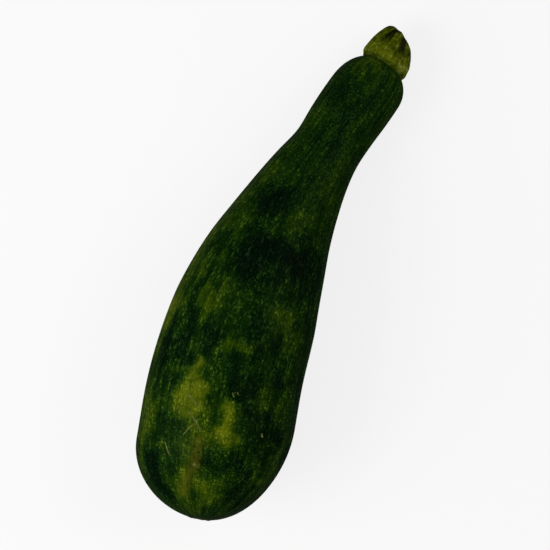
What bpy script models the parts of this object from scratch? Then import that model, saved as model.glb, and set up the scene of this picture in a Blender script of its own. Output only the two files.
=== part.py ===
"""Courgette: a club-shaped marrow fruit with its cut stem stub, lying on its belly.

The fruit grows along a curved centreline. Distances along that line start at the blossom end
and run towards the stem, and angles round it start at the fruit's left side (0 degrees),
pass over the top (90) and come down the right side (180) to the belly (270).

Row frame: +X runs from the blossom end to the stem, +Z is up, and the origin is the middle of
the bounding box at the level of the surface that the courgette lies on. Metres throughout.
"""

import math

import bmesh
import bpy
import numpy as np
from mathutils import Vector

MM = 0.001

# Driving dimensions of the fruit.
FRUIT_LENGTH = 192.0 * MM  # blossom end to stem seat, along the centreline
BEND = math.radians(25.5)  # sideways turn of the whole fruit
BEND_START, BEND_END = 37.0 * MM, 161.0 * MM

# Height of the centreline above the surface that the courgette lies on. It is a little less than
# the girth under the belly and under the shoulder, so both rest on a small flat, and it dips
# towards the stem.
HEIGHT = [
    (0.0, 33.0),
    (25.0, 29.8),
    (50.0, 28.8),
    (75.0, 28.2),
    (100.0, 25.8),
    (125.0, 21.6),
    (150.0, 17.5),
    (168.0, 15.3),
    (180.0, 13.7),
    (195.0, 10.9),
]

# Radius of the fruit at distances along it, before its two ends are rounded off.
GIRTH = [
    (0.0, 28.6),
    (40.0, 29.4),
    (60.0, 28.9),
    (80.0, 27.8),
    (92.0, 26.0),
    (105.0, 23.5),
    (118.0, 20.4),
    (131.0, 17.6),
    (143.0, 15.3),
    (153.0, 14.0),
    (163.0, 13.8),
    (175.0, 14.0),
    (190.0, 13.7),
]
# Length of the half ellipse that closes the blossom end, on the left and on the right.
BLOSSOM_ROUNDING_LEFT, BLOSSOM_ROUNDING_RIGHT = 27.0 * MM, 40.0 * MM
# The same at the stem end, where the rounded shoulder is cut off for the stem seat.
SHOULDER_ROUNDING_LEFT, SHOULDER_ROUNDING_RIGHT = 17.0 * MM, 12.5 * MM
SHOULDER_OVERRUN = 2.2 * MM
SHOULDER_SQUARENESS = 2.3  # 2 is an ellipse, and more is squarer

# The blossom end is pressed flat on the left, square to a line that leans this far to the left.
FLAT_SIDE_TURN = math.radians(24.0)
FLAT_SIDE_REACH = 8.6 * MM  # from the blossom pole to the flat, along that line
FLAT_SIDE_GIVE = 0.3  # share of the height over the flat that is left

# A shallow dent on the left of the neck, and ten faint ribs.
DENT_AT, DENT_LENGTH, DENT_DEPTH = 153.0 * MM, 8.0 * MM, 0.9 * MM
RIB_COUNT = 10
RIB_HEIGHT = 0.25 * MM

# Driving dimensions of the stem stub.
STEM_LENGTH = 14.6 * MM
STEM_TURN = math.radians(4.4)  # the stem leans back a little, against the bend
STEM_FLARE = [
    (0.0, 9.1),
    (1.5, 9.7),
    (4.5, 9.9),
    (8.0, 8.9),
    (11.0, 7.7),
    (13.3, 6.4),
    (14.6, 5.2),
]
STEM_RIDGES = 5
STEM_GROOVE_AT_SEAT, STEM_GROOVE_AT_CUT = 0.06, 0.18  # groove depth as a share of the radius
STEM_RIDGE_ANGLE = math.radians(84.0)
STEM_RIDGE_WIDTH = 1.3  # power of the cosine: above 1, the ridges are narrower than the grooves
CUT_SLANT = math.radians(18.0)
SEAT_GAP = 0.3 * MM

# Mesh resolution.
FRUIT_AROUND, FRUIT_RINGS = 40, 56
STEM_AROUND, STEM_CUTS = 40, 9
LINE_STEPS = 1200


def clear_scene():
    for obj in list(bpy.data.objects):
        bpy.data.objects.remove(obj, do_unlink=True)


def left_to_right(angle, left, right):
    """A value that changes evenly from the fruit's left side (angle 0) to its right (180)."""
    return left + (right - left) * (0.5 - 0.5 * math.cos(angle))


def through_keys(keys, x):
    """Value at x (metres) of the smooth Catmull-Rom curve through keys given in millimetres."""
    at = [k[0] * MM for k in keys]
    value = [k[1] * MM for k in keys]
    last = len(keys) - 1
    slope = [
        (value[min(i + 1, last)] - value[max(i - 1, 0)]) / (at[min(i + 1, last)] - at[max(i - 1, 0)])
        for i in range(last + 1)
    ]
    x = min(at[-1], max(at[0], x))
    i = max(j for j in range(last) if at[j] <= x)
    span = at[i + 1] - at[i]
    u = (x - at[i]) / span
    return (
        (2 * u**3 - 3 * u**2 + 1) * value[i]
        + (u**3 - 2 * u**2 + u) * span * slope[i]
        + (3 * u**2 - 2 * u**3) * value[i + 1]
        + (u**3 - u**2) * span * slope[i + 1]
    )


class Centreline:
    """The fruit's axis: straight, a sideways arc, straight again, and lower towards the neck."""

    def __init__(self, length):
        self.along = np.linspace(0.0, length, LINE_STEPS)
        turn = np.clip((self.along - BEND_START) / (BEND_END - BEND_START), 0.0, 1.0)
        self.heading = BEND * (0.5 - turn)
        self.height = np.array([through_keys(HEIGHT, s) for s in self.along])
        self.pitch = np.arcsin(np.gradient(self.height, self.along))
        flat = np.cos(self.pitch) * (self.along[1] - self.along[0])
        self.x = np.cumsum(np.cos(self.heading) * flat)
        self.y = np.cumsum(np.sin(self.heading) * flat)

    def frame(self, along):
        """Point, forward, left and up directions at a distance along the line."""
        x, y, z, heading, pitch = (
            float(np.interp(along, self.along, v))
            for v in (self.x, self.y, self.height, self.heading, self.pitch)
        )
        forward = Vector(
            (
                math.cos(heading) * math.cos(pitch),
                math.sin(heading) * math.cos(pitch),
                math.sin(pitch),
            )
        )
        left = Vector((-math.sin(heading), math.cos(heading), 0.0))
        return Vector((x, y, z)), forward, left, forward.cross(left)


def fruit_radius(along, angle):
    """Girth, rounded off at both ends, with a dent in the neck and ten faint ribs."""
    radius = through_keys(GIRTH, min(along, FRUIT_LENGTH))
    dent = math.exp(-(((along - DENT_AT) / DENT_LENGTH) ** 2))
    radius -= DENT_DEPTH * dent * max(0.0, math.cos(angle))
    rounding = left_to_right(angle, BLOSSOM_ROUNDING_LEFT, BLOSSOM_ROUNDING_RIGHT)
    to_blossom = max(0.0, 1.0 - along / rounding)
    radius *= math.sqrt(max(0.0, 1.0 - to_blossom**2))
    rounding = left_to_right(angle, SHOULDER_ROUNDING_LEFT, SHOULDER_ROUNDING_RIGHT)
    end = FRUIT_LENGTH + SHOULDER_OVERRUN
    to_stem = min(1.0, max(0.0, 1.0 - (end - along) / rounding))
    radius *= (1.0 - to_stem**SHOULDER_SQUARENESS) ** (1.0 / SHOULDER_SQUARENESS)
    fullness = radius / (GIRTH[0][1] * MM)
    return radius + RIB_HEIGHT * fullness * math.cos(RIB_COUNT * angle)


def press_flat(point, line):
    """Presses the left of the blossom end towards a slanted plane."""
    pole, forward, left, _ = line.frame(0.0)
    outward = left * math.sin(FLAT_SIDE_TURN) - forward * math.cos(FLAT_SIDE_TURN)
    over = max(0.0, (point - pole).dot(outward) - FLAT_SIDE_REACH)
    return point - outward * over * (1.0 - FLAT_SIDE_GIVE)


def cut_flat(bm, point, outward):
    """Removes what lies beyond a plane and closes the cut with one flat face."""
    geometry = bm.verts[:] + bm.edges[:] + bm.faces[:]
    cut = bmesh.ops.bisect_plane(
        bm,
        geom=geometry,
        dist=1e-6,
        plane_co=point,
        plane_no=outward,
        clear_outer=True,
    )
    rim = [e for e in cut["geom_cut"] if isinstance(e, bmesh.types.BMEdge)]
    bmesh.ops.holes_fill(bm, edges=rim, sides=0)


def finish_mesh(bm, name, collection, material):
    bmesh.ops.remove_doubles(bm, verts=bm.verts[:], dist=1e-6)
    bmesh.ops.recalc_face_normals(bm, faces=bm.faces[:])
    mesh = bpy.data.meshes.new(name)
    bm.to_mesh(mesh)
    bm.free()
    mesh.shade_smooth()
    mesh.set_sharp_from_angle(angle=math.radians(35.0))
    mesh.materials.append(material)
    obj = bpy.data.objects.new(name, mesh)
    collection.objects.link(obj)
    return obj


def make_fruit(line, collection, material):
    """A sphere drawn out along the centreline, then cut flat for the stem and under the belly."""
    bm = bmesh.new()
    bmesh.ops.create_uvsphere(bm, u_segments=FRUIT_AROUND, v_segments=FRUIT_RINGS, radius=1.0)
    full_length = FRUIT_LENGTH + SHOULDER_OVERRUN
    for vert in bm.verts:
        along = full_length * 0.5 * (1.0 + vert.co.z)
        angle = math.atan2(vert.co.y, vert.co.x)
        radius = fruit_radius(along, angle)
        centre, _, left, up = line.frame(along)
        vert.co = centre + radius * (math.cos(angle) * left + math.sin(angle) * up)
        vert.co = press_flat(vert.co, line)
    seat, forward, _, _ = line.frame(FRUIT_LENGTH)
    cut_flat(bm, seat, forward)
    cut_flat(bm, Vector((0.0, 0.0, 0.0)), Vector((0.0, 0.0, -1.0)))
    return finish_mesh(bm, "fruit", collection, material)


def stem_radius(height, angle):
    """Flared stub with five rounded ridges and wide grooves that deepen towards the cut."""
    share = height / STEM_LENGTH
    depth = STEM_GROOVE_AT_SEAT + (STEM_GROOVE_AT_CUT - STEM_GROOVE_AT_SEAT) * share
    ridge = (0.5 + 0.5 * math.cos(STEM_RIDGES * (angle - STEM_RIDGE_ANGLE))) ** STEM_RIDGE_WIDTH
    return through_keys(STEM_FLARE, height) * (1.0 - depth * (1.0 - ridge))


def make_stem(line, collection, material):
    """A cylinder with loop cuts, flared and ridged, with a flat seat and a slanting cut."""
    bm = bmesh.new()
    bmesh.ops.create_cone(
        bm,
        cap_ends=True,
        segments=STEM_AROUND,
        radius1=1.0,
        radius2=1.0,
        depth=1.0,
    )
    walls = [e for e in bm.edges if abs(e.verts[0].co.z - e.verts[1].co.z) > 0.5]
    bmesh.ops.subdivide_edges(bm, edges=walls, cuts=STEM_CUTS)
    seat, forward, left, up = line.frame(FRUIT_LENGTH)
    axis = (forward * math.cos(STEM_TURN) + left * math.sin(STEM_TURN)).normalized()
    base = seat + forward * SEAT_GAP
    for vert in bm.verts:
        share = vert.co.z + 0.5
        angle = math.atan2(vert.co.y, vert.co.x)
        radius = stem_radius(share * STEM_LENGTH, angle)
        across = math.cos(angle) * left + math.sin(angle) * up
        slant = radius * math.cos(angle) * math.tan(CUT_SLANT) * share**2
        vert.co = base + axis * (share * STEM_LENGTH + slant) + across * radius
    return finish_mesh(bm, "stem", collection, material)


def make_material(name, colour, roughness):
    material = bpy.data.materials.new(name)
    material.use_nodes = True
    shader = material.node_tree.nodes["Principled BSDF"]
    shader.inputs["Base Color"].default_value = (*colour, 1.0)
    shader.inputs["Roughness"].default_value = roughness
    shader.inputs["Metallic"].default_value = 0.0
    return material


def centre_on_origin(objects):
    """Moves the meshes so that the origin is under the middle of the bounding box."""
    corners = [v.co for obj in objects for v in obj.data.vertices]
    low = [min(c[i] for c in corners) for i in range(3)]
    high = [max(c[i] for c in corners) for i in range(3)]
    shift = Vector((-(low[0] + high[0]) / 2, -(low[1] + high[1]) / 2, -low[2]))
    for obj in objects:
        for vert in obj.data.vertices:
            vert.co += shift


def main():
    clear_scene()
    collection = bpy.data.collections.new("courgette")
    bpy.context.scene.collection.children.link(collection)
    skin = make_material("skin", (0.02, 0.05, 0.006), 0.5)
    stalk = make_material("stalk", (0.10, 0.13, 0.012), 0.6)
    line = Centreline(FRUIT_LENGTH + SHOULDER_OVERRUN)
    parts = [make_fruit(line, collection, skin), make_stem(line, collection, stalk)]
    centre_on_origin(parts)


main()
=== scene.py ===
"""A courgette lying on its belly: mottled dark green skin, corky scratches and a cut stem stub.

Lengths are in millimetres and angles in degrees until a mesh is made. A place on the skin is
(along, angle): along is the distance on the fruit's curved middle line from the blossom end
towards the stem, and angle goes from the left side (0) over the top (90) to the right (180)
and under the belly (270).
"""

import math

import bpy
import numpy as np
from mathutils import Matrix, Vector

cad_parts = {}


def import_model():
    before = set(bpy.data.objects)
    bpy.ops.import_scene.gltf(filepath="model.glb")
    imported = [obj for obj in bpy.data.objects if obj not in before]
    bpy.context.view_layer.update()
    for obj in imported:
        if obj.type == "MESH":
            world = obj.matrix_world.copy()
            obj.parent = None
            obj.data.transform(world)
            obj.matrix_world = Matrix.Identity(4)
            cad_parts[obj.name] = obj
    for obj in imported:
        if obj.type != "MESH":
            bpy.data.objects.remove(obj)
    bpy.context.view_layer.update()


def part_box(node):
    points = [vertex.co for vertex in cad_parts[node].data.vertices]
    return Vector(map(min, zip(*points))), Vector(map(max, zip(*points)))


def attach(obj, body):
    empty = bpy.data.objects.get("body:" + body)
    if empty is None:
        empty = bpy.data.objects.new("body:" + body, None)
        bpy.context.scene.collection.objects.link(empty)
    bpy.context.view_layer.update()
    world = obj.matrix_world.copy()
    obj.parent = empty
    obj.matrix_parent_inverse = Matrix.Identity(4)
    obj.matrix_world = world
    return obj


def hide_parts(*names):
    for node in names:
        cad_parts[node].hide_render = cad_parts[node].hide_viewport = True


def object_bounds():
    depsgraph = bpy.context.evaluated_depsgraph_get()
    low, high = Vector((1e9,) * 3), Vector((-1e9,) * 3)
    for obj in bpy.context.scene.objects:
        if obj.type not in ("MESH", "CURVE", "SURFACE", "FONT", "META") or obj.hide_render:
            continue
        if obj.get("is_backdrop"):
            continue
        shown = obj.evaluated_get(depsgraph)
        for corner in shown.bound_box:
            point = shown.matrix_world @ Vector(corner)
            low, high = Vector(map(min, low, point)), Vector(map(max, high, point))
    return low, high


MM = 0.001

# ---------------------------------------------------------------- the fruit's own dimensions
FRUIT_LENGTH, OVERRUN = 192.0, 2.2
BEND, BEND_START, BEND_END = 25.5, 37.0, 161.0
HEIGHT = [
    (0, 33), (25, 29.8), (50, 28.8), (75, 28.2), (100, 25.8), (125, 21.6), (150, 17.5),
    (168, 15.3), (180, 13.7), (195, 10.9),
]
GIRTH = [
    (0, 28.6), (40, 29.4), (60, 28.9), (80, 27.8), (92, 26), (105, 23.5), (118, 20.4),
    (131, 17.6), (143, 15.3), (153, 14), (163, 13.8), (175, 14), (190, 13.7),
]
BLOSSOM_ROUNDING = (27.0, 40.0)  # left, right
SHOULDER_ROUNDING, SQUARENESS = (17.0, 12.5), 2.3
PRESSED_TURN, PRESSED_REACH, PRESSED_GIVE = 24.0, 8.6, 0.3
DENT_AT, DENT_LENGTH, DENT_DEPTH = 153.0, 8.0, 0.9
RIB_COUNT, RIB_HEIGHT = 10, 0.25
BELLY_RADIUS = 28.6
STEM_LENGTH, STEM_TURN, CUT_SLANT = 14.6, 4.4, 18.0
RIDGE_COUNT, RIDGE_ANGLE, RIDGE_POWER = 5, 84.0, 1.3
STEM_FLARE = [(0, 9.1), (1.5, 9.7), (4.5, 9.9), (8, 8.9), (11, 7.7), (13.3, 6.4), (14.6, 5.2)]

# Blotches on the skin: along, angle, half length, half width round the fruit, strength.
# A strength below 0 is dark green, above 0 light green, and above 1 yellow.
BLOTCHES = [
    (172, 53, 7, 4, -0.6), (184, 64, 4, 3, -0.5), (163, 92, 3, 3, -0.6), (156, 98, 4, 3, -0.6),
    (164, 88, 26, 8, -0.42), (121, 66, 8, 8, -0.85), (127, 90, 4, 4, -0.6), (102, 96, 7, 15, -0.85),
    (97, 72, 9, 8, -0.85), (104, 130, 7, 12, -0.85), (101, 38, 4, 3, -0.35), (79, 45, 7, 4, -0.75),
    (60, 39, 10, 8, -0.75), (90, 88, 6, 8, -0.7), (78, 102, 6, 5, -0.7), (68, 72, 5, 4, -0.6),
    (69, 50, 4, 6, -0.6), (93, 128, 5, 10, -0.5), (60, 136, 6, 5, -0.9), (67, 124, 5, 5, -0.35),
    (52, 106, 5, 4, -0.9), (43, 121, 6, 4, -0.75), (36, 138, 7, 7, -0.9), (22, 104, 5, 7, -0.55),
    (14, 36, 9, 8, -1.1), (14, 128, 7, 6, -0.7), (88, 160, 14, 8, -0.3), (60, 165, 16, 8, -0.35),
    (30, 172, 12, 8, -0.3), (106, 115, 5, 8, -0.45), (67, 105, 5, 4, -0.8), (60, 92, 3, 4, -0.4),
    (55, 64, 8, 5, 1.25), (43, 69, 7, 5, 1.25), (40, 97, 7, 5, 1.2), (33, 87, 6, 6, 1.0),
    (10, 90, 6, 8, 1.0), (12, 63, 5, 4, 0.8), (18, 143, 5, 5, 0.6), (68, 89, 4, 4, 0.6),
    (79, 60, 8, 5, 0.8), (82, 122, 6, 5, 0.5), (75, 135, 5, 4, 0.3), (71, 10, 12, 9, 1.1),
    (28, 24, 12, 8, 0.8), (44, 12, 8, 7, 0.5), (22, 70, 9, 4, 0.7), (90, 14, 16, 8, 0.4),
    (102, 22, 14, 7, 0.35), (92, 42, 4, 3, 0.6), (110, 46, 5, 4, 0.4), (117, 104, 4, 5, 0.3),
    (187, 66, 4, 7, 0.9), (180, 91, 4, 3, 0.45), (124, 32, 12, 8, 0.25), (52, 121, 4, 3, 0.5),
    (61, 61, 4, 4, 0.4), (36, 104, 3, 3, 0.5),
    (45, 228, 16, 12, 0.7), (85, 255, 26, 13, 1.0), (60, 290, 22, 14, 0.9), (115, 205, 12, 8, -0.2),
    (20, 250, 10, 12, -0.5), (125, 310, 12, 8, -0.7), (30, 320, 10, 9, -0.7), (150, 250, 10, 6, 0.4),
    (75, 205, 9, 9, -0.5), (108, 322, 9, 8, -0.8), (165, 190, 10, 5, -0.3), (160, 300, 9, 5, -0.6),
]

# Corky scratches: the places they run through, and their width.
SCRATCHES = [
    ([(48.0, 61.5), (46.2, 66.5), (44.6, 71.0), (42.8, 76.0)], 0.26),
    ([(41.2, 67.0), (39.2, 71.5), (37.4, 75.0), (35.6, 78.0), (33.4, 80.5)], 0.29),
    ([(37.5, 75.0), (35.5, 72.5), (33.2, 69.5), (31.0, 67.0)], 0.26),
    ([(27.2, 51.0), (25.4, 53.0), (23.4, 54.5), (21.2, 56.5)], 0.27),
    ([(32.0, 23.0), (29.0, 24.0)], 0.20),
    ([(37.0, 126.8), (36.1, 127.4), (35.3, 128.6)], 0.42),
    ([(50.6, 97.4), (49.7, 98.2), (48.9, 99.6)], 0.24),
    ([(51.2, 100.6), (50.4, 101.6), (49.9, 102.8)], 0.16),
]
CORK_SPOT = (19.0, 78.0)

# Dry tissue: the colour in its cracks, darker as painted shade, between them, and on its crests, lighter
# as a painted highlight.
CORK_COLOURS = (0.075, 0.095, 0.012), (0.170, 0.200, 0.032), (0.310, 0.350, 0.100)
HEALED_COLOURS = (0.020, 0.026, 0.008), (0.050, 0.055, 0.018), (0.100, 0.090, 0.035)


# ---------------------------------------------------------------- shapes, as functions of arrays
def through(keys, at):
    """Smooth curve through (place, value) keys: a cubic between each two, with Catmull-Rom slopes."""
    x, y = np.array(keys, float).T
    slope = np.gradient(y, x)
    slope[1:-1] = (y[2:] - y[:-2]) / (x[2:] - x[:-2])
    at = np.clip(at, x[0], x[-1])
    i = np.clip(np.searchsorted(x, at, side="right") - 1, 0, len(x) - 2)
    span = x[i + 1] - x[i]
    u = (at - x[i]) / span
    rise = (3 - 2 * u) * u * u
    curve = span * u * (1 - u) * (slope[i] * (1 - u) - slope[i + 1] * u)
    return y[i] + (y[i + 1] - y[i]) * rise + curve


def middle_line():
    """Points and headings every sixth of a millimetre: heading turns evenly over the bend."""
    along = np.linspace(0.0, FRUIT_LENGTH + OVERRUN, 1200)
    turn = np.clip((along - BEND_START) / (BEND_END - BEND_START), 0.0, 1.0)
    heading = np.radians(BEND) * (0.5 - turn)
    height = through(HEIGHT, along)
    pitch = np.arcsin(np.gradient(height, along))
    step = np.cos(pitch) * (along[1] - along[0])
    x, y = np.cumsum(np.cos(heading) * step), np.cumsum(np.sin(heading) * step)
    return along, x, y, height, heading, pitch


LINE = middle_line()


def line_frame(along):
    """The middle line's point, forward, left and up directions at each distance."""
    x, y, z, heading, pitch = (np.interp(along, LINE[0], values) for values in LINE[1:])
    flat = np.cos(pitch)
    forward = np.stack([np.cos(heading) * flat, np.sin(heading) * flat, np.sin(pitch)], -1)
    left = np.stack([-np.sin(heading), np.cos(heading), np.zeros_like(heading)], -1)
    return np.stack([x, y, z], -1), forward, left, np.cross(forward, left)


def left_to_right(angle, pair):
    """Goes evenly from the left side's value to the right side's, with the cosine of the angle."""
    return pair[0] + (pair[1] - pair[0]) * (0.5 - 0.5 * np.cos(angle))


def girth(along, angle):
    """Radius: the girth keys times a half ellipse at either end, less the neck's dent, plus ribs."""
    radius = through(GIRTH, np.minimum(along, FRUIT_LENGTH))
    dent = np.exp(-(((along - DENT_AT) / DENT_LENGTH) ** 2)) * np.maximum(0.0, np.cos(angle))
    blossom = np.maximum(0.0, 1.0 - along / left_to_right(angle, BLOSSOM_ROUNDING))
    end = FRUIT_LENGTH + OVERRUN
    shoulder = np.clip(1.0 - (end - along) / left_to_right(angle, SHOULDER_ROUNDING), 0.0, 1.0)
    radius = (radius - DENT_DEPTH * dent) * np.sqrt(np.maximum(0.0, 1.0 - blossom**2))
    radius = radius * np.maximum(0.0, 1.0 - shoulder**SQUARENESS) ** (1.0 / SQUARENESS)
    return radius + RIB_HEIGHT * radius / BELLY_RADIUS * np.cos(RIB_COUNT * angle)


def swells(along, angle):
    """Shallow hand-felt unevenness: a few long waves of under half a millimetre."""
    wave = np.sin(3 * angle + along / 17.0) * np.sin(along / 13.0 + 1.0)
    wave = wave + 0.6 * np.sin(5 * angle - along / 9.0 + 2.0) * np.sin(along / 21.0)
    ends = np.clip(along / 25.0, 0.0, 1.0) * np.clip((FRUIT_LENGTH - along) / 15.0, 0.0, 1.0)
    return 0.16 * wave * ends


def skin_place(along, degrees, proud=0.0):
    """The point of the skin at (along, angle), raised by proud: middle line plus radius outwards.

    The blossom end's left is pressed towards a slanted plane, the stem seat is cut square to the
    line, and nothing goes below the surface that the courgette lies on.
    """
    angle = np.radians(degrees)
    centre, _, left, up = line_frame(along)
    radius = girth(along, angle) + swells(along, angle) + proud
    outwards = np.cos(angle)[..., None] * left + np.sin(angle)[..., None] * up
    point = centre + radius[..., None] * outwards
    pole, forward, left, _ = line_frame(np.array(0.0))
    turn = math.radians(PRESSED_TURN)
    outward = left * math.sin(turn) - forward * math.cos(turn)
    over = np.maximum(0.0, (point - pole) @ outward - PRESSED_REACH)
    point = point - outward * (over * (1.0 - PRESSED_GIVE))[..., None]
    seat, forward, _, _ = line_frame(np.array(FRUIT_LENGTH))
    beyond = np.maximum(0.0, (point - seat) @ forward)
    point = point - forward * beyond[..., None]
    point[..., 2] = np.maximum(point[..., 2], 0.0)
    return point


def ridge_share(from_ridge):
    """1 on each ridge of the stub and 0 midway between two, from the angle to the top ridge."""
    return (0.5 + 0.5 * np.cos(RIDGE_COUNT * from_ridge)) ** RIDGE_POWER


def stalk_place(height, degrees, share=1.0):
    """The stub's surface at a height above its seat, scaled towards its axis by share.

    Radius is the flare less five grooves that deepen towards the cut, with fine ridges on top,
    and the base swells into a scalloped collar. The cut slants up towards the left.
    """
    angle = np.radians(degrees)
    up_share = height / STEM_LENGTH
    ridge = ridge_share(angle - math.radians(RIDGE_ANGLE))
    groove = (0.06 + 0.12 * np.clip(up_share, 0, 1)) * (1.0 - ridge)
    fine = 0.012 * np.sin(23 * angle + 1.5 * np.sin(height / 2.0))
    fine = fine + 0.007 * np.sin(41 * angle + height / 3.0)
    collar = 0.035 * np.exp(-((height - 1.8) ** 2) / 2.0) * np.cos(10 * angle)
    radius = through(STEM_FLARE, height) * (1.0 - groove + fine + collar) * share
    seat, forward, left, up = line_frame(np.array(FRUIT_LENGTH))
    turn = math.radians(STEM_TURN)
    axis = forward * math.cos(turn) + left * math.sin(turn)
    across = np.cos(angle)[..., None] * left + np.sin(angle)[..., None] * up
    slant = radius * np.cos(angle) * math.tan(math.radians(CUT_SLANT)) * np.clip(up_share, 0, 1) ** 2
    return seat + axis * (height + slant)[..., None] + across * radius[..., None]


# ---------------------------------------------------------------- meshes
def wrapped_grid(name, points, shift):
    """A closed mesh from rows of points that go round: quads between rows, the end rows fanned.

    points is rows by columns by 3 in millimetres, and its first and last rows each lie on one
    point. The UV map runs from 0 to 1 round the rows and from 0 to 1 from first row to last.
    """
    rows, columns = points.shape[:2]
    verts = (per_vertex(points) + shift) * MM
    row, column = np.meshgrid(np.arange(rows - 1), np.arange(columns), indexing="ij")
    corner_rows = np.stack([row, row, row + 1, row + 1], -1)
    corner_columns = np.stack([column, column + 1, column + 1, column], -1)
    index = 1 + (corner_rows - 1) * columns + corner_columns % columns
    index = np.where(corner_rows == 0, 0, np.where(corner_rows == rows - 1, len(verts) - 1, index))
    quads, first, last = index[1:-1].reshape(-1, 4), index[0][:, [0, 2, 3]], index[-1][:, :3]
    mesh = bpy.data.meshes.new(name)
    mesh.from_pydata(verts, [], quads.tolist() + first.tolist() + last.tolist())
    place = np.stack([corner_columns / columns, corner_rows / (rows - 1)], -1)
    middle = (column + 0.5)[..., None] / columns
    place[0, :, 0, 0], place[-1, :, 2, 0] = middle[0, :, 0], middle[-1, :, 0]
    maps = [place[1:-1], place[0][:, [0, 2, 3]], place[-1][:, :3]]
    maps = np.concatenate([part.reshape(-1, 2) for part in maps])
    mesh.uv_layers.new(name="around").data.foreach_set("uv", maps.astype(np.float32).ravel())
    mesh.update()
    mesh.shade_smooth()
    obj = bpy.data.objects.new(name, mesh)
    bpy.context.scene.collection.objects.link(obj)
    return obj


def per_vertex(grid):
    """The values of a rows by columns grid in wrapped_grid's vertex order."""
    width = grid.shape[2:]
    return np.concatenate([grid[:1, 0], grid[1:-1].reshape(-1, *width), grid[-1:, 0]])


def store(obj, name, values):
    """Puts one number or one vector for each vertex into a named attribute."""
    vector = values.ndim == 2
    attribute = obj.data.attributes.new(name, "FLOAT_VECTOR" if vector else "FLOAT", "POINT")
    attribute.data.foreach_set("vector" if vector else "value", values.astype(np.float32).ravel())


def tone_at(along, degrees):
    """Light or dark of the blotches: each adds strength times a soft-edged ellipse on the skin.

    Sines first push each place a few millimetres along and a few degrees round, so that no
    blotch has an even edge.
    """
    turn = np.radians(degrees)
    ragged = 1.9 * np.sin(along / 3.1 + 5 * turn + 1) + 1.3 * np.sin(along / 1.7 - 9 * turn)
    ragged = ragged + 0.9 * np.sin(along + 16 * turn)
    pulled = 4.5 * np.sin(7 * turn + along / 6.0) + 3.0 * np.sin(13 * turn - along / 3.3 + 2)
    pulled = pulled + 2.0 * np.sin(along / 1.4)
    along, degrees = along + ragged, degrees + pulled
    total = np.zeros(np.broadcast(along, degrees).shape)
    radius = girth(along, np.radians(degrees)) + 2.0
    for place, middle, half_length, half_width, strength in BLOTCHES:
        around = np.radians((degrees - middle + 180.0) % 360.0 - 180.0) * radius
        spread = ((along - place) / half_length) ** 2 + (around / half_width) ** 2
        total = total + strength * np.exp(-(spread**1.6) * 0.9)
    return total


def scar_distance(along, degrees):
    """How near a place is to the brown band through the cork spot: 1 on it, 0 from 4 mm away."""
    spine = np.array([(30.0, 80.5), (26.0, 79.5), (22.0, 78.5), CORK_SPOT, (14.5, 73.5), (9.0, 67.0)])
    radius = girth(along, np.radians(degrees)) + 0.5
    nearest = np.full(np.broadcast(along, degrees).shape, 99.0)
    for start, end in zip(spine[:-1], spine[1:]):
        for u in np.linspace(0.0, 1.0, 6):
            place, turn = start + (end - start) * u
            away = np.radians((degrees - turn + 180.0) % 360.0 - 180.0) * radius
            nearest = np.minimum(nearest, np.hypot(along - place, away))
    return np.exp(-((nearest / 1.9) ** 2))


def make_skin(shift):
    """The fruit: rows of places from the blossom pole to the middle of the stem seat."""
    rows, columns = 236, 400
    along = (FRUIT_LENGTH + OVERRUN) * 0.5 * (1.0 - np.cos(np.linspace(0.0, math.pi, rows)))
    degrees = np.arange(columns) * 360.0 / columns - 90.0
    along, degrees = np.meshgrid(along, degrees, indexing="ij")
    obj = wrapped_grid("skin", skin_place(along, degrees), shift)
    angle = np.radians(degrees)
    # The grain turns with the fruit, so that streaks drawn out along it meet all the way round.
    grain = np.stack([np.cos(angle) * 20.0, np.sin(angle) * 20.0, along / 1.75], -1)
    store(obj, "grain", per_vertex(grain))
    store(obj, "tone", per_vertex(tone_at(along, degrees)))
    store(obj, "brown", per_vertex(scar_distance(along, degrees)))
    return obj


def make_stalk(shift):
    """The stub: up its side from a seat sunk a little into the fruit, then in over its cut face."""
    columns = 240
    degrees = np.arange(columns) * 360.0 / columns
    side = np.linspace(-0.4, STEM_LENGTH, 56)
    rounded = 1.0 - 0.13 * np.clip((side - STEM_LENGTH + 1.8) / 1.8, 0.0, 1.0) ** 2
    turned_in = np.array([0.85, 0.82, 0.78, 0.72, 0.65, 0.57, 0.5, 0.42, 0.34, 0.26, 0.18, 0.1, 0.0])
    height = np.concatenate([[-0.4], side, np.full(len(turned_in), STEM_LENGTH)])
    share = np.concatenate([[0.0], rounded, turned_in])
    # The cut face has dried: its rim is rounded and its middle has sunk.
    sunk = np.concatenate([np.zeros(len(side) + 1), 1.3 * (1 - (turned_in / 0.87) ** 3)])
    height, around = np.meshgrid(height, degrees, indexing="ij")
    share, _ = np.meshgrid(share, degrees, indexing="ij")
    points = stalk_place(height, around, share)
    _, forward, _, _ = line_frame(np.array(FRUIT_LENGTH))
    crumple = 0.25 * np.sin(np.radians(around) * 7 + 1) * share * (share < 0.86)
    points = points - forward * (sunk[:, None] + crumple)[..., None]
    obj = wrapped_grid("stalk", points, shift)
    angle = np.radians(around)
    rise = np.clip(height / STEM_LENGTH, 0, 1)
    # The grooves' darkening (painted shade in the recesses over the stub's own darker green) leans
    # towards the top ridge.
    from_ridge = angle - math.radians(RIDGE_ANGLE)
    from_ridge = from_ridge + 0.2 * np.sin(2 * from_ridge)
    groove = 1.0 - ridge_share(from_ridge)
    grain = np.stack([np.cos(angle) * 9.0, np.sin(angle) * 9.0, height / 3.0], -1)
    store(obj, "grain", per_vertex(grain))
    store(obj, "rise", per_vertex(rise))
    store(obj, "groove", per_vertex(groove))
    # One groove, right of the top ridge, is bruised brown near the cut.
    off_bruise = ((around - 112.0) / 11.0) ** 2 + ((rise - 0.72) / 0.20) ** 2
    store(obj, "bruise", per_vertex(0.8 * np.exp(-off_bruise)))
    store(obj, "cut", per_vertex(np.where(height > 0, 1.0 - np.minimum(share / 0.87, 1.0), 0.0)))
    return obj


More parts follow.
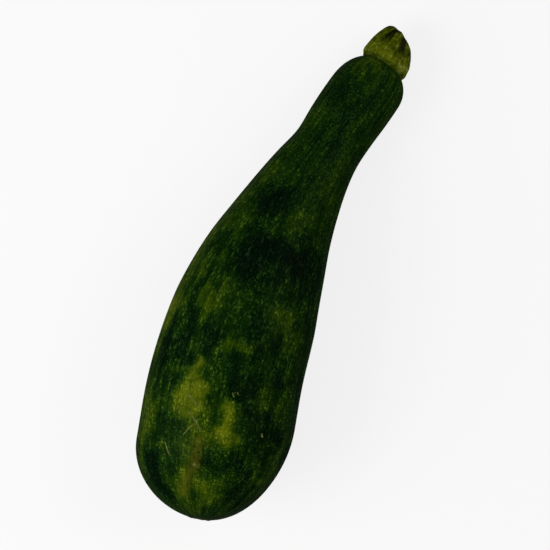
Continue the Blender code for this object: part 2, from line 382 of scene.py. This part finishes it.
def make_ridge(name, places, width, shift):
    """A corky ridge along the skin: half-round across, tapering to nothing at both ends."""
    keys = np.array(places, float)
    count = 10 * (len(keys) - 1) + 1
    u = np.linspace(0, len(keys) - 1, count)
    which = np.arange(len(keys))
    along = through(list(zip(which, keys[:, 0])), u)
    degrees = through(list(zip(which, keys[:, 1])), u)
    jitter = np.sin(u * 9.0 + len(name)) * 0.12
    base = skin_place(along + jitter, degrees, 0.0)
    above = skin_place(along + jitter, degrees, 1.0) - base
    above /= np.linalg.norm(above, axis=1)[:, None]
    ahead = np.gradient(base, axis=0)
    ahead /= np.linalg.norm(ahead, axis=1)[:, None]
    side = np.cross(above, ahead)
    taper = np.sqrt(np.maximum(0.0, 1.0 - np.abs(2 * u / u[-1] - 1) ** 2.5))
    taper = taper * (1 + 0.25 * np.sin(u * 14))
    turn = np.arange(16) * 2 * math.pi / 16
    turn = turn[None, :, None]
    across = width * (side[:, None] * np.cos(turn) + 0.45 * above[:, None] * np.sin(turn))
    return wrapped_grid(name, base[:, None] + across * taper[:, None, None], shift)


def make_spot(name, place, turn, radius, height, rays, shift):
    """A low corky button on the skin: a dome whose edge runs out in rays."""
    rings, columns = 10, 64
    spread = np.concatenate([np.linspace(0.0, 1.0, rings), np.linspace(1.0, 0.0, 4)[1:]])
    lift = np.concatenate([np.linspace(1.0, 0.0, rings) ** 0.6 * height, np.full(3, -0.25)])
    spread, around = np.meshgrid(spread, np.arange(columns) * 2 * math.pi / columns, indexing="ij")
    ragged = 1.0 + rays * (np.abs(np.sin(around * 3.5)) ** 4 + 0.5 * np.sin(around * 9 + 1)) * spread**2
    reach = radius * spread * ragged
    local = girth(np.array(place), np.radians(turn))
    along = place + reach * np.cos(around)
    degrees = turn + np.degrees(reach * np.sin(around) / local)
    bumpy = 1 + 0.2 * np.sin(around * 5 + spread * 9)
    points = skin_place(along, degrees, lift[:, None] * bumpy)
    return wrapped_grid(name, points, shift)


# ---------------------------------------------------------------- materials
class Graph:
    """Short calls for building a node tree: values or sockets go straight into a node's inputs."""

    def __init__(self, tree):
        self.tree = tree

    def node(self, kind, inputs=(), **settings):
        """A node with its settings made first, because some of them make its sockets."""
        made = self.tree.nodes.new("ShaderNode" + kind)
        for key, value in settings.items():
            setattr(made, key, value)
        for key, value in dict(inputs).items():
            if isinstance(value, bpy.types.NodeSocket):
                self.tree.links.new(value, made.inputs[key])
            else:
                made.inputs[key].default_value = value
        return made

    def maths(self, operation, a, b=0.0, c=0.0):
        return self.node("Math", {0: a, 1: b, 2: c}, operation=operation).outputs[0]

    def blend_sum(self, *parts):
        """The sum of (socket, share) parts."""
        total = 0.0
        for value, share in parts:
            total = self.maths("MULTIPLY_ADD", value, share, total)
        return total

    def ramp(self, value, stops):
        """Colour at a value from 0 to 1, through (place, colour) stops."""
        made = self.node("ValToRGB", {"Fac": value})
        while len(made.color_ramp.elements) < len(stops):
            made.color_ramp.elements.new(0.5)
        for element, (place, colour) in zip(made.color_ramp.elements, stops):
            element.position = place
            element.color = (*colour, 1.0)
        return made.outputs["Color"]

    def group(self, tree, inputs):
        return self.node("Group", inputs, node_tree=tree).outputs

    def bump(self, height, strength, depth):
        """A normal from a height of 0 to 1, whose full step is depth millimetres."""
        inputs = {"Height": height, "Strength": strength, "Distance": depth * MM}
        return self.node("Bump", inputs).outputs["Normal"]

    def spread(self, value, low, high, to_low=0.0, to_high=1.0, smooth=True):
        """Value taken from the range low to high and put into another range."""
        kind = "SMOOTHSTEP" if smooth else "LINEAR"
        inputs = {"Value": value, "From Min": low, "From Max": high, "To Min": to_low, "To Max": to_high}
        return self.node("MapRange", inputs, interpolation_type=kind).outputs["Result"]

    def mix(self, share, a, b):
        """Colour a, going over to colour b as share goes from 0 to 1."""
        made = self.node("Mix", data_type="RGBA", blend_type="MIX", clamp_factor=True)
        for socket, value in ((made.inputs["Factor"], share), (made.inputs[6], a), (made.inputs[7], b)):
            if isinstance(value, bpy.types.NodeSocket):
                self.tree.links.new(value, socket)
            else:
                socket.default_value = value if socket.type == "VALUE" else (*value, 1.0)
        return made.outputs[2]

    def noise(self, vector, scale, detail=3.0, rough=0.55, output="Fac"):
        inputs = {"Vector": vector, "Scale": scale, "Detail": detail, "Roughness": rough}
        return self.node("TexNoise", inputs).outputs[output]

    def stretch(self, vector, x, y, z):
        inputs = {"Vector": vector, "Scale": (x, y, z)}
        return self.node("Mapping", inputs).outputs[0]

    def attribute(self, name, output="Fac"):
        return self.node("Attribute", attribute_name=name).outputs[output]


def new_group(name, inputs, outputs):
    """An empty shader group with the given sockets, its graph, and its input and output nodes."""
    tree = bpy.data.node_groups.new(name, "ShaderNodeTree")
    for socket, kind, value in inputs:
        made = tree.interface.new_socket(socket, in_out="INPUT", socket_type="NodeSocket" + kind)
        if value is not None:
            made.default_value = value
    for socket, kind in outputs:
        tree.interface.new_socket(socket, in_out="OUTPUT", socket_type="NodeSocket" + kind)
    entry, leave = tree.nodes.new("NodeGroupInput"), tree.nodes.new("NodeGroupOutput")
    return tree, Graph(tree), entry.outputs, leave.inputs


def flecks_group():
    """Pale flecks: one spot in each cell of a grid on the skin, with its own size and chance."""
    inputs = [("Vector", "Vector", None), ("Size", "Float", 0.3), ("Edge", "Float", 0.15)]
    tree, g, given, out = new_group("flecks", inputs, [("Mask", "Float"), ("Chance", "Float")])
    cells = g.node("TexVoronoi", {"Vector": given["Vector"], "Scale": 1.0}, voronoi_dimensions="2D")
    chance = g.node("SeparateColor", {"Color": cells.outputs["Color"]}).outputs[0]
    own_size = g.maths("MULTIPLY", given["Size"], g.spread(chance, 0.0, 1.0, 0.55, 1.25, smooth=False))
    inner = g.maths("SUBTRACT", own_size, given["Edge"])
    spot = g.spread(cells.outputs["Distance"], inner, own_size, 1.0, 0.0)
    tree.links.new(spot, out["Mask"])
    tree.links.new(g.node("SeparateColor", {"Color": cells.outputs["Color"]}).outputs[1], out["Chance"])
    return tree


def mottle_group():
    """Cloudy unevenness: coarse and fine noise added, for colour, and a fine height for bump."""
    inputs = [("Vector", "Vector", None), ("Coarse", "Float", 60.0), ("Fine", "Float", 400.0)]
    outputs = [("Cloud", "Float"), ("Fine", "Float"), ("Height", "Float")]
    tree, g, given, out = new_group("mottle", inputs, outputs)
    coarse = g.noise(given["Vector"], given["Coarse"], 4.0, 0.6)
    fine = g.noise(given["Vector"], given["Fine"], 3.0, 0.6)
    tree.links.new(g.spread(coarse, 0.28, 0.72, -1.0, 1.0, smooth=False), out["Cloud"])
    tree.links.new(g.spread(fine, 0.3, 0.7, -1.0, 1.0, smooth=False), out["Fine"])
    tree.links.new(g.blend_sum((coarse, 0.6), (fine, 0.4)), out["Height"])
    return tree


def new_material(name, **constants):
    """A material with a Principled shader whose unchanging values are set on its own sockets."""
    material = bpy.data.materials.new(name)
    material.use_nodes = True
    tree = material.node_tree
    shader = tree.nodes["Principled BSDF"]
    for key, value in constants.items():
        shader.inputs[key.replace("_", " ")].default_value = value
    return material, Graph(tree), shader


FLECKS = flecks_group()
MOTTLE = mottle_group()


def skin_material():
    """Mottled waxy skin.

    Tone is the blotches plus clouds, streaks and fine lines of noise. It picks the ground colour,
    from near black through green to yellow, and the colour of the flecks in two sizes over it. A
    brown band is laid over both. Flecks, lines and brown also raise the bump.
    """
    waxy = {"Specular_IOR_Level": 0.02, "Sheen_Weight": 0.035, "Sheen_Roughness": 0.3}
    material, g, shader = new_material("courgette_skin", **waxy)
    place = g.node("TexCoord").outputs["Object"]
    grain = g.attribute("grain", "Vector")
    around = g.node("UVMap", uv_map="around").outputs["UV"]
    clouds = g.group(MOTTLE, {"Vector": place, "Coarse": 110.0, "Fine": 520.0})
    streaks = g.noise(g.stretch(grain, 0.42, 0.42, 0.08), 1.0, 5.0, 0.65)
    streaks = g.spread(streaks, 0.34, 0.66, -1.0, 1.0, smooth=False)
    lines = g.noise(g.stretch(grain, 2.0, 2.0, 0.16), 1.0, 3.0, 0.65)
    lines = g.spread(lines, 0.34, 0.66, -1.0, 1.0, smooth=False)
    tone = g.blend_sum(
        (g.attribute("tone"), 0.88),
        (clouds["Cloud"], 0.28),
        (streaks, 0.26),
        (clouds["Fine"], 0.20),
        (lines, 0.20),
    )
    light = g.spread(tone, -1.1, 1.5, smooth=False)
    ground = g.ramp(light, [
        (0.00, (0.0004, 0.0062, 0.0012)),
        (0.22, (0.0011, 0.0125, 0.0013)),
        (0.42, (0.0056, 0.0290, 0.0010)),
        (0.60, (0.0210, 0.0600, 0.0010)),
        (0.78, (0.0660, 0.1100, 0.0010)),
        (1.00, (0.1650, 0.2150, 0.0024)),
    ])
    # The flecks' places are pushed about a little, so that no two rows look alike.
    push = g.noise(place, 800.0, 2.0, 0.6, "Color")
    masks = []
    for jump, count, size, edge in ((1.6, (150, 150), 0.42, 0.28), (2.2, (270, 250), 0.50, 0.36)):
        inputs = {0: push, 1: (jump, jump, 0.0), 2: g.stretch(around, *count, 1)}
        moved = g.node("VectorMath", inputs, operation="MULTIPLY_ADD").outputs[0]
        masks.append(g.group(FLECKS, {"Vector": moved, "Size": size, "Edge": edge}))
    wide, small = masks
    seen = g.maths("MULTIPLY", wide["Mask"], g.maths("POWER", wide["Chance"], 1.7))
    fine = g.maths("MULTIPLY", small["Mask"], g.maths("POWER", small["Chance"], 2.2))
    seen = g.maths("MAXIMUM", seen, g.maths("MULTIPLY", fine, 0.9))
    amount = g.spread(g.blend_sum((clouds["Cloud"], 0.4), (streaks, 0.6)), -0.8, 0.6, 0.30, 1.0)
    seen = g.maths("MULTIPLY", seen, amount)
    fleck = g.ramp(light, [
        (0.10, (0.0260, 0.0800, 0.0240)),
        (0.42, (0.0900, 0.2300, 0.0240)),
        (0.70, (0.2800, 0.4200, 0.0260)),
        (1.00, (0.4800, 0.5600, 0.0500)),
    ])
    colour = g.mix(g.maths("MULTIPLY", seen, 0.74), ground, fleck)
    patchy = g.spread(g.blend_sum((clouds["Fine"], 0.7), (lines, 0.5)), -0.8, 0.7, 0.10, 0.85)
    brown = g.maths("MULTIPLY", g.attribute("brown"), patchy)
    colour = g.mix(brown, colour, (0.118, 0.112, 0.007))
    g.tree.links.new(colour, shader.inputs["Base Color"])
    rough = g.blend_sum((seen, 0.10), (clouds["Fine"], 0.05), (brown, 0.2), (0.42, 1.0))
    g.tree.links.new(rough, shader.inputs["Roughness"])
    height = g.blend_sum((seen, 0.6), (lines, 0.20), (clouds["Height"], 0.35), (brown, 0.5))
    g.tree.links.new(g.bump(height, 0.6, 0.14), shader.inputs["Normal"])
    return material


def stalk_material():
    """Yellow-green stub: bright ridges, grooves darkened by painted shade over their own darker green, a
    darker green band of painted shade at its seat, pale veins, a browned rim and a dried cut.
    """
    material, g, shader = new_material("courgette_stalk", Specular_IOR_Level=0.03)
    grain = g.attribute("grain", "Vector")
    place = g.node("TexCoord").outputs["Object"]
    clouds = g.group(MOTTLE, {"Vector": place, "Coarse": 380.0, "Fine": 1300.0})
    veins = g.noise(g.stretch(grain, 0.8, 0.8, 0.42), 1.0, 4.0, 0.65)
    veins = g.spread(veins, 0.36, 0.64, -1.0, 1.0, smooth=False)
    rise = g.attribute("rise")
    groove = g.spread(g.attribute("groove"), 0.35, 1.0)
    # Painted shade: the grooves darken more towards the cut, where they are deepest, over the stub's own
    # darker green.
    painted_groove_shade = g.maths("MULTIPLY", groove, g.spread(rise, 0.30, 0.75, 0.12, 1.0))
    dark = g.blend_sum((painted_groove_shade, 0.82), (veins, 0.24), (clouds["Cloud"], 0.48), (clouds["Fine"], 0.26))
    light = g.spread(dark, -0.45, 1.05, 1.0, 0.0, smooth=False)
    side = g.ramp(light, [
        (0.00, (0.0050, 0.0075, 0.0012)),
        (0.30, (0.0230, 0.0330, 0.0012)),
        (0.58, (0.0800, 0.1120, 0.0012)),
        (0.80, (0.1650, 0.2000, 0.0024)),
        (1.00, (0.3600, 0.4000, 0.0800)),
    ])
    collar = g.maths("MULTIPLY", g.spread(rise, 0.04, 0.12), g.spread(rise, 0.18, 0.36, 1.0, 0.0))
    collar = g.maths("MULTIPLY", collar, g.spread(clouds["Cloud"], -0.3, 0.6, 0.1, 0.8))
    side = g.mix(collar, side, (0.2100, 0.2500, 0.0080))
    # Painted shade where the stub meets the fruit: a darker green band at the seat.
    base = g.spread(g.blend_sum((rise, 1.0), (veins, 0.04)), 0.01, 0.11, 1.0, 0.0)
    side = g.mix(g.maths("MULTIPLY", base, 0.6), side, (0.0300, 0.0700, 0.0020))
    patchy = g.spread(clouds["Cloud"], -0.5, 0.7, 0.1, 0.9)
    browned = g.maths("MULTIPLY", g.spread(rise, 0.84, 1.0), patchy)
    browned = g.maths("MAXIMUM", browned, g.attribute("bruise"))
    side = g.mix(browned, side, (0.0300, 0.0200, 0.0050))
    inward = g.attribute("cut")
    face = g.ramp(g.blend_sum((inward, 1.0), (clouds["Cloud"], 0.05)), [
        (0.00, (0.060, 0.042, 0.018)),
        (0.10, (0.110, 0.100, 0.030)),
        (0.30, (0.210, 0.200, 0.080)),
        (0.52, (0.120, 0.120, 0.035)),
        (0.66, (0.260, 0.240, 0.110)),
        (1.00, (0.330, 0.290, 0.150)),
    ])
    face = g.mix(g.spread(clouds["Fine"], -0.2, 0.9, 0.0, 0.5), face, (0.070, 0.050, 0.020))
    colour = g.mix(g.spread(inward, 0.0, 0.03), side, face)
    g.tree.links.new(colour, shader.inputs["Base Color"])
    rough = g.blend_sum((clouds["Fine"], 0.06), (inward, 0.25), (0.55, 1.0))
    g.tree.links.new(rough, shader.inputs["Roughness"])
    height = g.blend_sum((veins, 0.25), (clouds["Height"], 0.5))
    g.tree.links.new(g.bump(height, 0.7, 0.25), shader.inputs["Normal"])
    return material


def cork_material(name, shaded_cracks, middle, lit_crests):
    """Dry healed tissue, with painted shade in its cracks and a painted highlight on its crests, where
    its bump is low and high.
    """
    material, g, shader = new_material(name, Specular_IOR_Level=0.05, Roughness=0.8)
    place = g.node("TexCoord").outputs["Object"]
    clouds = g.group(MOTTLE, {"Vector": place, "Coarse": 900.0, "Fine": 3500.0})
    light = g.spread(g.blend_sum((clouds["Cloud"], 0.6), (clouds["Fine"], 0.4)), -0.8, 0.8)
    # Painted shade in the cracks and painted highlight on the crests: the colour follows the same noise
    # as the bump.
    colour = g.ramp(light, [(0.0, shaded_cracks), (0.5, middle), (1.0, lit_crests)])
    g.tree.links.new(colour, shader.inputs["Base Color"])
    g.tree.links.new(g.bump(clouds["Height"], 0.8, 0.1), shader.inputs["Normal"])
    return material


def floor_material():
    """A plain pale floor: nearly white to look at, grey to soft light and darker to reflections."""
    material = bpy.data.materials.new("floor_pale")
    material.use_nodes = True
    tree = material.node_tree
    tree.nodes.clear()
    g = Graph(tree)
    matt = g.node("BsdfDiffuse", {"Color": (0.30, 0.30, 0.30, 1.0)}).outputs[0]
    lit = g.node("Emission", {"Color": (1.0, 1.0, 1.0, 1.0), "Strength": 0.80}).outputs[0]
    bright = g.node("AddShader", {0: matt, 1: lit}).outputs[0]
    quiet = g.node("BsdfDiffuse", {"Color": (0.10, 0.10, 0.10, 1.0)}).outputs[0]
    kind = g.node("LightPath").outputs
    fair = g.node("BsdfDiffuse", {"Color": (0.40, 0.40, 0.40, 1.0)}).outputs[0]
    unseen = g.node("MixShader", {0: kind["Is Diffuse Ray"], 1: quiet, 2: fair}).outputs[0]
    shown = g.node("MixShader", {0: kind["Is Camera Ray"], 1: unseen, 2: bright}).outputs[0]
    out = tree.nodes.new("ShaderNodeOutputMaterial")
    tree.links.new(shown, out.inputs["Surface"])
    return material


# ---------------------------------------------------------------- the set
def add_floor(material):
    """A wide disc at the level that the courgette lies on, seen from any side."""
    turn = np.linspace(0, 2 * math.pi, 64, endpoint=False)
    verts = np.stack([np.cos(turn) * 20.0, np.sin(turn) * 20.0, np.full(64, -0.0002)], -1)
    mesh = bpy.data.meshes.new("floor")
    mesh.from_pydata(verts, [], [list(range(64))])
    mesh.materials.append(material)
    floor = bpy.data.objects.new("floor", mesh)
    bpy.context.scene.collection.objects.link(floor)
    floor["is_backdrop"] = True


def add_softbox(name, azimuth, elevation, distance, size, power):
    """A square area light that faces the courgette. Azimuth turns from +X towards +Y."""
    light = bpy.data.lights.new(name, "AREA")
    light.shape, light.size, light.energy = "SQUARE", size, power
    lamp = bpy.data.objects.new(name, light)
    turn, up = math.radians(azimuth), math.radians(elevation)
    lamp.location = (
        distance * math.cos(turn) * math.cos(up),
        distance * math.sin(turn) * math.cos(up),
        distance * math.sin(up),
    )
    lamp.rotation_euler = (math.pi / 2 - up, 0.0, turn + math.pi / 2)
    bpy.context.scene.collection.objects.link(lamp)


def add_world():
    """Dim even light all round; the empty background beyond the floor looks as pale as the floor."""
    world = bpy.data.worlds.new("room")
    world.use_nodes = True
    bpy.context.scene.world = world
    tree = world.node_tree
    tree.nodes.clear()
    g = Graph(tree)
    dim = g.node("Background", {"Color": (1.0, 1.0, 1.0, 1.0), "Strength": 0.20}).outputs[0]
    pale = g.node("Background", {"Color": (1.0, 1.0, 1.0, 1.0), "Strength": 0.95}).outputs[0]
    direct = g.node("LightPath").outputs["Is Camera Ray"]
    out = tree.nodes.new("ShaderNodeOutputWorld")
    tree.links.new(g.node("MixShader", {0: direct, 1: dim, 2: pale}).outputs[0], out.inputs["Surface"])


def add_camera():
    """A long lens straight above, turned so that the stem is at the top right."""
    data = bpy.data.cameras.new("above")
    data.lens, data.sensor_width = 187.2, 36.0
    data.clip_start, data.clip_end = 0.05, 60.0
    camera = bpy.data.objects.new("above", data)
    camera.location = (-0.0049, -0.0011, 1.125)
    camera.rotation_euler = (0.0, 0.0, math.radians(-67.6))
    bpy.context.scene.collection.objects.link(camera)
    bpy.context.scene.camera = camera


def make_blossom_scar(shift):
    """The healed scar at the blossom pole: a low button with a slightly raised, ragged rim."""
    profile = [
        (0, 0.06), (0.12, 0.03), (0.25, 0), (0.38, -0.03), (0.5, -0.03), (0.6, 0.03), (0.7, 0.10),
        (0.8, 0.16), (0.88, 0.14), (0.95, 0.06), (1, -0.05), (0.97, -0.3), (0.5, -0.3), (0, -0.3),
    ]
    spread, lift = np.array(profile).T
    degrees = np.arange(96) * 360.0 / 96
    spread, around = np.meshgrid(spread, degrees, indexing="ij")
    angle = np.radians(around)
    ragged = 1.0 + 0.10 * np.sin(5 * angle + 1) + 0.06 * np.sin(11 * angle)
    rough = 1 + 0.35 * np.sin(9 * angle + spread * 5) * (spread > 0.3)
    points = skin_place(0.42 * (spread * ragged) ** 2, around)
    _, forward, _, _ = line_frame(np.array(0.0))
    points = points - forward * (lift[:, None] * rough)[..., None]
    return wrapped_grid("blossom_scar", points, shift)


def main():
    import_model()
    bpy.context.scene.view_settings.view_transform = "Standard"
    bpy.context.scene.view_settings.look = "None"

    # The fruit's own numbers start at the blossom end, and the frame's origin is under its middle.
    places = np.meshgrid(np.linspace(0, FRUIT_LENGTH, 400), np.arange(0, 360, 2.0), indexing="ij")
    sample = skin_place(*places).reshape(-1, 3)
    middle = (sample.min(0) + sample.max(0)) / 2
    low, high = (np.array(corner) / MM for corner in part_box("fruit"))
    shift = (low + high) / 2 - middle
    shift[2] = 0.0

    skin, stalk = skin_material(), stalk_material()
    cork = cork_material("courgette_cork", *CORK_COLOURS)
    healed = cork_material("courgette_blossom_scar", *HEALED_COLOURS)
    fruit = make_skin(shift)
    fruit.data.materials.append(skin)
    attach(fruit, "root")
    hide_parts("fruit")
    stub = make_stalk(shift)
    stub.data.materials.append(stalk)
    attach(stub, "root")
    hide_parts("stem")

    marks = [
        make_ridge(f"scratch_{i + 1}", places, width, shift)
        for i, (places, width) in enumerate(SCRATCHES)
    ]
    marks.append(make_spot("cork_spot", *CORK_SPOT, 0.55, 0.16, 0.8, shift))
    marks.append(make_blossom_scar(shift))
    for mark in marks:
        mark.data.materials.append(healed if mark.name == "blossom_scar" else cork)
        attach(mark, "root")

    add_floor(floor_material())
    add_softbox("key", 130.0, 40.0, 0.9, 0.6, 3.1)
    add_softbox("fill", -50.0, 40.0, 1.3, 0.9, 2.6)
    add_world()
    add_camera()
    low, high = (list(corner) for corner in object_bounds())


main()
